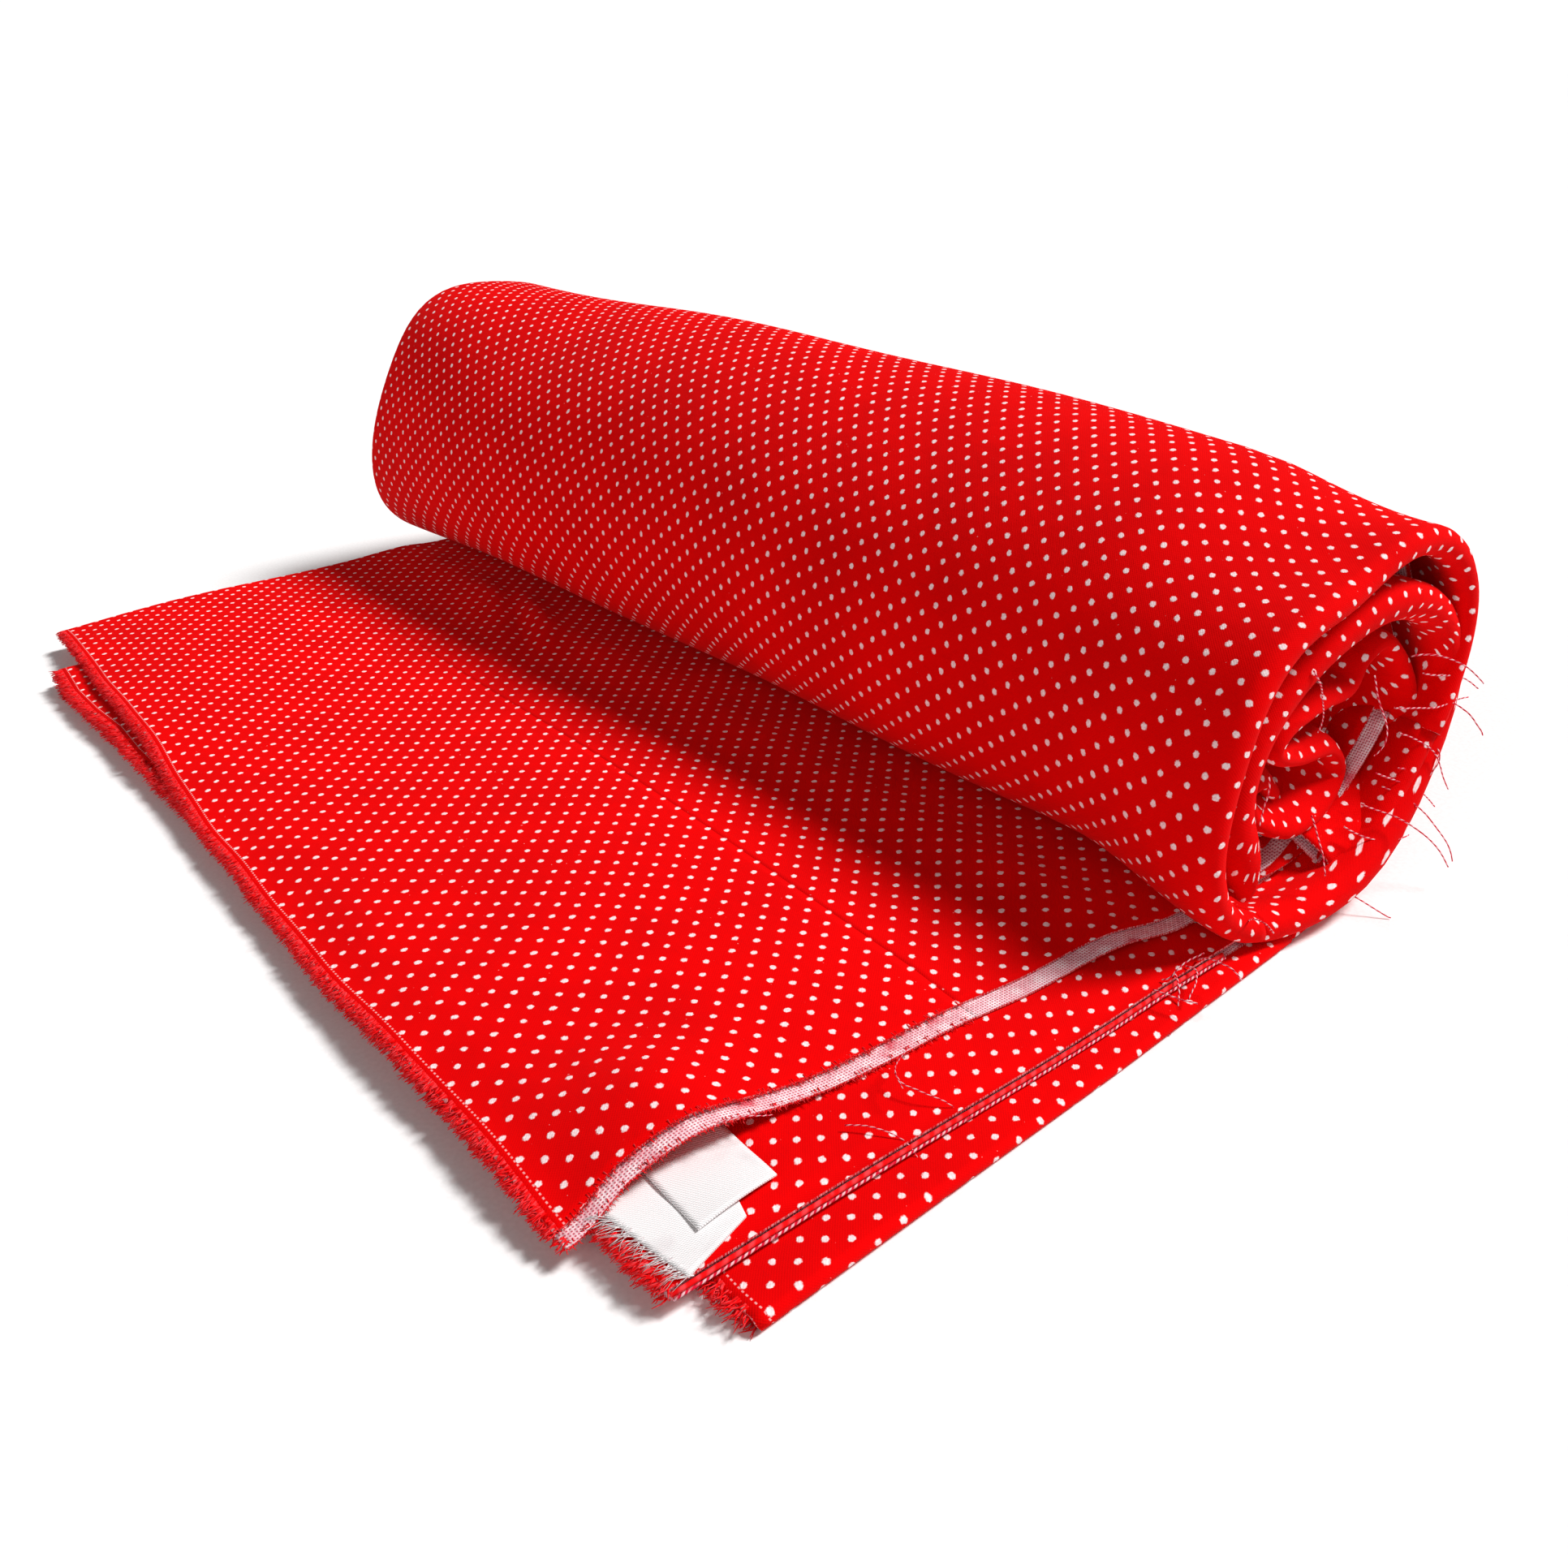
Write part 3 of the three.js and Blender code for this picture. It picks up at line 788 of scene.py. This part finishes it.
def core_place(station, depth, x):
    p, inward = CORE_PATH[0][int(station)], CORE_PATH[1][int(station)]
    d = (depth - 4.6) * CORE_SQUEEZE
    y, z = p[0] + inward[0] * d, p[1] + inward[1] * d
    deep = 1 - smooth(165, 203, x)
    ay, az = axis(x)
    k = swell(x)
    inner_y = ay + 1 + (y - 95) * 0.70 * k
    inner_z = az + 1 + (z - 34) * 0.70 * k
    out = SAG_OUT * 0.8 * smooth(26, 6, p[1]) * (1 - deep)
    y, z = lerp(y, inner_y, deep), lerp(z, inner_z, deep)
    return x + out * LEAN_OUT[0], y + out * LEAN_OUT[1], z + out * LEAN_OUT[2]


def core_profile_lower(station):
    tip = X_ROLL - 6 - 5 * float(smooth(60, 140, station)) + 1.5 * math.sin(station / 9)
    return lower_profile(ROLL_PLIES, tip - 17, tip - 19, tip, X_FAR + 6, 8.6)


def core_profile_upper(station):
    near1 = X_ROLL - 36 - 3 * float(smooth(60, 140, station)) + 1.5 * math.sin(station / 11)
    return upper_profile(ROLL_PLIES, near1, near1 + 2, X_FAR + 6)


def build_core(used_low, used_up):
    stations = np.arange(len(CORE_PATH[0]))

    def guide(station, x):
        p = CORE_PATH[0][int(station)]
        return p[0] + 0 * x, p[1] + 0 * x

    lower, _, _ = lay_cloth("lower_length_core", "lower", stations, core_profile_lower, core_place,
                            guide, used_low)
    upper, _, _ = lay_cloth("upper_length_core", "upper", stations, core_profile_upper, core_place,
                            guide, used_up)
    return lower, upper


# --- threads --------------------------------------------------------------------------------------
def loose_thread(rng, start, heading, length, droop, curl, floor=0.4, steps=18):
    p, d = np.array(start, float), np.array(heading, float)
    d /= np.linalg.norm(d)
    bend = rng.normal(size=3) * curl
    path, step = [p.copy()], length / steps
    for _ in range(steps):
        bend = 0.8 * bend + rng.normal(size=3) * curl * 0.4
        d = d + (bend - np.array([0, 0, droop])) * step
        d /= np.linalg.norm(d)
        p = p + d * step
        if p[2] < floor:
            p[2], d[2] = floor, max(d[2], 0)
        path.append(p.copy())
    return path


def fringe(name, edge, outward, rng, length, per_mm=2.2, material=None, lift=0.35, radius=0.26):
    """Short fluff standing out of an edge, given as points in millimetres."""
    edge = np.asarray(edge, float)
    along = np.concatenate([[0], np.cumsum(np.linalg.norm(np.diff(edge, axis=0), axis=1))])
    count = int(along[-1] * per_mm)
    paths, radii = [], []
    for s in np.sort(rng.uniform(0, along[-1], count)):
        p = np.array([np.interp(s, along, edge[:, k]) for k in range(3)])
        p = p + np.array([0, 0, rng.uniform(-1, 1) * lift])
        d = np.asarray(outward, float) + rng.normal(size=3) * [0.34, 0.12, 0.14]
        d /= np.linalg.norm(d)
        l = length * rng.uniform(0.6, 1.0)
        q = p + d * l * 0.5 + rng.normal(size=3) * 0.25
        r = q + (d + rng.normal(size=3) * [0.3, 0.2, 0.12]) * l * 0.5
        back = p - d * 1.2
        path = np.array([back, p, q, r])
        path[:, 2] = np.maximum(path[:, 2], 0.35)
        paths.append(path)
        radii.append(np.array([1.1, 1.0, 0.7, 0.25]) * radius)
    return strands(name, paths, radii, material or FLUFF_PAINTED_BRIGHT, sides=3)


def edge_line(points, column, offset=(0, 0, 0)):
    return points[:, column] + np.array(offset)


# --- the tag --------------------------------------------------------------------------------------
def tag_flap(name, corners, heights, size):
    """A strip of white twill between four corners, given anticlockwise from its tucked-in end."""
    n, m = 22, 18
    a, b, c, d = (np.array(p, float) for p in corners)
    points, flat = np.zeros((n, m, 3)), np.zeros((n, m, 2))
    for i in range(n):
        for j in range(m):
            s, t = i / (n - 1), j / (m - 1)
            xy = (a * (1 - t) + b * t) * (1 - s) + (d * (1 - t) + c * t) * s
            z = lerp(heights[0], heights[1], s) + heights[2] * math.sin(math.pi * t) * s
            z += 0.12 * math.sin(9 * s + 5 * t)
            points[i, j] = (xy[0], xy[1], z)
            flat[i, j] = (t * size[0], s * size[1])
    bu, bv = np.linspace(0, 1, m), np.linspace(0, 1, n)
    flap = cloth_sheet(name, points, flat, bu, bv, thickness=0.36, front=0.6, materials=[TWILL, TWILL, TWILL])
    flap["flat_size"] = [size[0] * MM, size[1] * MM]
    return flap, points


# --- assembly -------------------------------------------------------------------------------------
rng = np.random.default_rng(7)
flat_lower, page_upper, under_upper, used_lower, used_upper, lower_points, upper_points = (
    build_table_stack()
)
heel_lower, heel_upper, used_lower, used_upper = build_heel(used_lower, used_upper)
turn_pieces, used_lower, used_upper = build_turns(used_lower, used_upper)
core_lower, core_upper = build_core(used_lower, used_upper)

cols = np.cumsum([0] + PROFILE_PARTS["lower"])
ply3, ply6, ply5, ply4 = (slice(cols[i], cols[i + 1]) for i in (0, 2, 4, 6))
ucols = np.cumsum([0] + PROFILE_PARTS["page"])
ply1, ply2 = slice(ucols[0], ucols[1]), slice(ucols[2], ucols[3])

page_threads = [
    fringe("top_selvage_fluff", upper_points[0, ply1], (0, -1, -0.2), rng, 2.6, 6.0),
    fringe("second_selvage_fluff", upper_points[0, ply2], (0, -1, -0.25), rng, 2.2, 3.5),
    fringe("top_raw_edge_fluff", edge_line(upper_points, ucols[0], (0, 0, 0.1)), (1, 0, 0.1),
           rng, 1.1, 4.5, lift=0.2, radius=0.12),
    fringe("second_raw_edge_fluff", edge_line(upper_points, ucols[-1] - 1), (1, 0, -0.1),
           rng, 0.9, 3.0, lift=0.2, radius=0.12),
]
lower_threads = [
    fringe("middle_selvage_fluff", lower_points[0, ply3], (0, -1, -0.05), rng, 3.4, 6.0),
    fringe("middle_lower_selvage_fluff", lower_points[0, ply4], (0, -1, -0.05), rng, 3.0, 3.5),
    fringe("bottom_selvage_fluff", lower_points[0, ply5], (0.2, -1, 0), rng, 3.8, 6.0),
    fringe("floor_selvage_fluff", lower_points[0, ply6], (0.2, -1, 0.05), rng, 3.0, 3.5),
]
hem_red = lower_points[:46, cols[0]] + np.array([0.55, 0, -0.9])
hem_striped = lower_points[:46, cols[0]] + np.array([1.35, 0, -1.4])
lower_threads.append(strands("middle_edge_cord", [hem_red], [0.55], FLUFF_PAINTED_BRIGHT, sides=6))
lower_threads.append(strands("middle_edge_yarn", [hem_striped], [0.30], STRIPED, sides=6))

# what the lengths, droops and curls of the loose threads below are multiplied by
THREAD_LENGTH, THREAD_DROOP, THREAD_CURL = 0.72, 1.4, 2.6


def bundle(name, specs, radius=0.21):
    """One object of long loose threads. specs gives each one's start, heading, length, droop and curl."""
    paths = []
    for start, way, length, droop, curl in specs:
        paths.append(loose_thread(rng, start, way, THREAD_LENGTH * length, THREAD_DROOP * droop,
                                  THREAD_CURL * curl))
    radii = [np.linspace(radius, radius * 0.75, len(p)) for p in paths]
    return strands(name, paths, radii, STRIPED, sides=5)


mouth_threads = bundle("roll_end_threads", [
    ((203, 112, 58), (0.4, 0.5, 0.2), 26, 0.02, 0.02),
    ((203, 118, 52), (0.5, 0.7, -0.3), 24, 0.03, 0.03),
    ((203, 108, 46), (0.4, 0.8, -0.4), 34, 0.02, 0.03),
    ((203, 112, 38), (0.5, 0.7, -0.2), 30, 0.03, 0.03),
    ((203, 104, 30), (0.5, 0.8, -0.5), 34, 0.01, 0.02),
    ((204, 106, 26), (0.5, 0.8, -0.4), 38, 0.02, 0.02),
    ((204, 98, 24), (0.6, 0.6, -0.5), 36, 0.01, 0.02),
    ((204, 92, 20), (0.7, 0.6, -0.6), 30, 0.01, 0.02),
    ((205, 110, 30), (0.3, 0.9, -0.2), 26, 0.03, 0.05),
    ((205, 122, 36), (0.4, 0.6, -0.6), 18, 0.03, 0.08),
    ((205, 124, 44), (0.4, 0.6, -0.2), 20, 0.05, 0.08),
    ((204, 72, 66), (0.3, 0.3, -0.8), 34, 0.02, 0.02),
    ((204, 96, 58), (0.3, 0.1, -0.9), 28, 0.02, 0.04),
    ((204, 78, 28), (0.4, 0.1, -0.9), 20, 0.02, 0.04),
    ((204, 60, 44), (0.3, 0.1, -0.9), 16, 0.02, 0.05),
    ((205, 86, 8), (0.7, 0.5, -0.5), 24, 0.01, 0.02),
])
edge_threads = bundle("table_edge_threads", [
    ((206, 38, 6.5), (0.5, -0.6, 0.5), 22, 0.05, 0.06),
    ((206, 34, 6.5), (0.8, 0.2, 0.4), 18, 0.06, 0.06),
    ((206, 30, 6.5), (0.8, -0.4, 0.3), 24, 0.05, 0.06),
    ((206, 26, 6.5), (0.9, 0.3, 0.3), 16, 0.05, 0.08),
    ((207, 22, 6.2), (0.8, -0.2, 0.3), 15, 0.05, 0.05),
    ((206, 56, 9), (0.3, -0.8, 0.4), 30, 0.03, 0.03),
])
hem_threads = bundle("hem_threads", [
    ((193, -36, 11.2), (0.6, -0.7, 0.2), 20, 0.02, 0.04),
    ((196, -42, 9.5), (0.8, -0.4, 0.1), 20, 0.03, 0.05),
    ((200, -58, 7.4), (0.6, 0.8, 0.1), 26, 0.02, 0.04),
    ((188, -82, 12.5), (0.7, 0.6, 0.2), 20, 0.01, 0.05),
], radius=0.15)

lower_flap_corners = ((184, -80), (186, -107), (212.6, -102), (206.9, -86))
upper_flap_corners = ((180, -76), (180, -95), (205, -95), (202.5, -76))
tag_low, tag_low_points = tag_flap("tag_lower_flap_cloth", lower_flap_corners, (6.5, 6.1, 0.2), (24, 26))
tag_top, _ = tag_flap("tag_upper_flap_cloth", upper_flap_corners, (7.1, 7.0, 0.7), (20, 24))
tag_fray = fringe("tag_frayed_end", tag_low_points[3:, -1], (-0.15, -1, 0.02), rng, 4.6, 4.0,
                  material=PALE, lift=0.2, radius=0.12)

for piece in (flat_lower, under_upper):
    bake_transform(piece)
for piece in [page_upper] + page_threads:
    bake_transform(piece)
for piece in lower_threads:
    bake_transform(piece)
for piece in (heel_lower, heel_upper):
    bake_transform(piece)
for piece in list(turn_pieces.values()) + [core_lower, core_upper, mouth_threads]:
    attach(piece, "roll")
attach(edge_threads, "under_roll_stack")
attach(hem_threads, "top_pages")
for piece in (tag_low, tag_top, tag_fray):
    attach(piece, "tag")

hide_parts("bottom_pair_lower_ply", "bottom_pair_upper_ply", "bottom_near_fold",
            "middle_pair_lower_ply", "middle_pair_upper_ply", "under_roll_bottom_pair",
            "under_roll_middle_pair")
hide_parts("bottom_selvage_fringe")
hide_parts("middle_selvage_fringe")
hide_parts("top_pair_lower_ply", "top_pair_upper_ply")
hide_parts("top_selvage_fringe")
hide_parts("under_roll_top_pair")
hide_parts("under_roll_near_fold")
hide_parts("outer_turn_bottom_pair", "outer_turn_near_fold",
            "outer_turn_middle_pair")
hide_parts("outer_turn_top_pair")
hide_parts("second_turn_bottom_pair", "second_turn_near_fold",
            "second_turn_middle_pair")
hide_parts("second_turn_top_pair")
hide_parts("core_bottom_pair", "core_middle_pair")
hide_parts("core_top_pair")
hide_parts("tag_lower_flap")
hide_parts("tag_upper_flap")


# --- stage, light and camera ----------------------------------------------------------------------
def build_stage():
    floor_mesh = bpy.data.meshes.new("floor")
    size = 6.0
    corners = [(-size, -size, 0), (size, -size, 0), (size, size, 0), (-size, size, 0)]
    floor_mesh.from_pydata(corners, [], [(0, 1, 2, 3)])
    floor = bpy.data.objects.new("floor", floor_mesh)
    bpy.context.scene.collection.objects.link(floor)
    s = Shader("pale_floor")
    where = s.node("TexCoord", out=3)
    tone = s.mix(s.ramp(s.noise(where, 900.0, 2.0), 0.3, 0.7), rgb(0.93, 0.925, 0.92), rgb(0.88, 0.87, 0.865))
    s.set(Base_Color=tone, Roughness=0.95, Specular_IOR_Level=0.1)
    floor_mesh.materials.append(s.material)


def sun_light(name, towards, softness, strength, colour=(1, 1, 1)):
    data = bpy.data.lights.new(name, "SUN")
    data.angle, data.energy, data.color = math.radians(softness), strength, colour
    light = bpy.data.objects.new(name, data)
    light.rotation_mode = "QUATERNION"
    light.rotation_quaternion = Vector(towards).to_track_quat("Z", "Y")
    bpy.context.scene.collection.objects.link(light)


def build_light():
    sun_light("key_light", (0.42, 0.80, 1.10), 16, 3.9)
    sun_light("fill_light", (0.35, -1.0, 0.45), 40, 0.8)
    world = bpy.data.worlds.new("studio")
    world.use_nodes = True
    tree = world.node_tree
    tree.nodes.clear()
    out = tree.nodes.new("ShaderNodeOutputWorld")
    soft, white = tree.nodes.new("ShaderNodeBackground"), tree.nodes.new("ShaderNodeBackground")
    soft.inputs[0].default_value, soft.inputs[1].default_value = (1, 0.97, 0.95, 1), 0.13
    white.inputs[0].default_value, white.inputs[1].default_value = (1, 1, 1, 1), 1.05
    seen, mix = tree.nodes.new("ShaderNodeLightPath"), tree.nodes.new("ShaderNodeMixShader")
    tree.links.new(seen.outputs["Is Camera Ray"], mix.inputs[0])
    tree.links.new(soft.outputs[0], mix.inputs[1])
    tree.links.new(white.outputs[0], mix.inputs[2])
    tree.links.new(mix.outputs[0], out.inputs[0])
    bpy.context.scene.world = world


def build_camera():
    data = bpy.data.cameras.new("camera")
    data.sensor_width, data.lens = 36.0, 32.795
    data.clip_start, data.clip_end = 0.02, 50
    camera = bpy.data.objects.new("camera", data)
    back = Vector((0.73666, -0.50684, 0.44771))
    right = Vector((0.58849, 0.80662, -0.05516))
    up = Vector((-0.33317, 0.30410, 0.89248))
    turn = Matrix((right, up, back)).transposed().to_4x4()
    camera.matrix_world = Matrix.Translation((0.374, -0.187, 0.190)) @ turn
    bpy.context.scene.collection.objects.link(camera)
    bpy.context.scene.camera = camera


build_stage()
build_light()
build_camera()
bpy.context.scene.view_settings.view_transform = "Standard"
